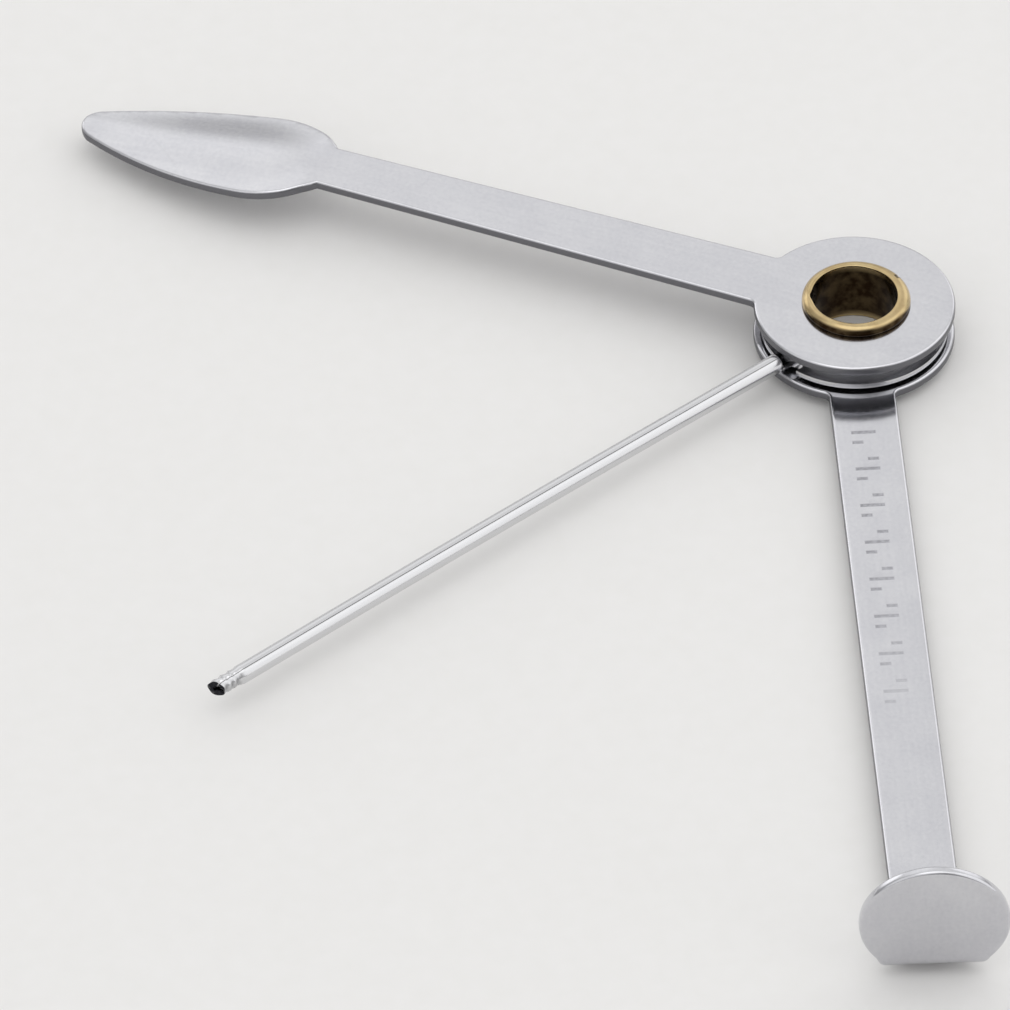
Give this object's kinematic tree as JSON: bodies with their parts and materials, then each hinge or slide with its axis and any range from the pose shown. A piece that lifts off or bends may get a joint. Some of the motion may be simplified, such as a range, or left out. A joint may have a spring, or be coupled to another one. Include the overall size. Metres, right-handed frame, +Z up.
{
  "type": "folding pocket tool",
  "caption": "Folding pocket tool of flat steel arms on a hollow brass eyelet: a tamper with an upturned round foot, a rolled tube pick and a leaf-shaped scraper spoon.",
  "frame": {"origin": "middle of the eyelet's bore, halfway up the stack of arms", "axes": "+Z up along the eyelet towards the spoon arm, +X along the tamper arm towards its foot"},
  "size_m": [0.0951, 0.0639, 0.0108],
  "materials": {
    "arm_steel": "satin polished stainless steel",
    "ring_steel": "plain stamped steel",
    "eyelet_brass": "polished brass, a little tarnished"
  },
  "bodies": {
    "tamper": {"tamper_arm": "arm_steel", "brass_eyelet": "eyelet_brass", "lower_washer": "ring_steel"},
    "spoon": {"spoon_arm": "arm_steel", "spacer_ring": "ring_steel"},
    "pick": {"pick": "arm_steel"}
  },
  "joints": [
    {"name": "spoon_pivot", "type": "hinge", "parent": "tamper", "child": "spoon", "pos_m": [0, 0, 0], "axis": [0, 0, 1], "continuous": true},
    {"name": "pick_pivot", "type": "hinge", "parent": "spoon", "child": "pick", "pos_m": [0, 0, 0], "axis": [0, 0, 1], "range_deg": [-55.4, 290.6]}
  ]
}
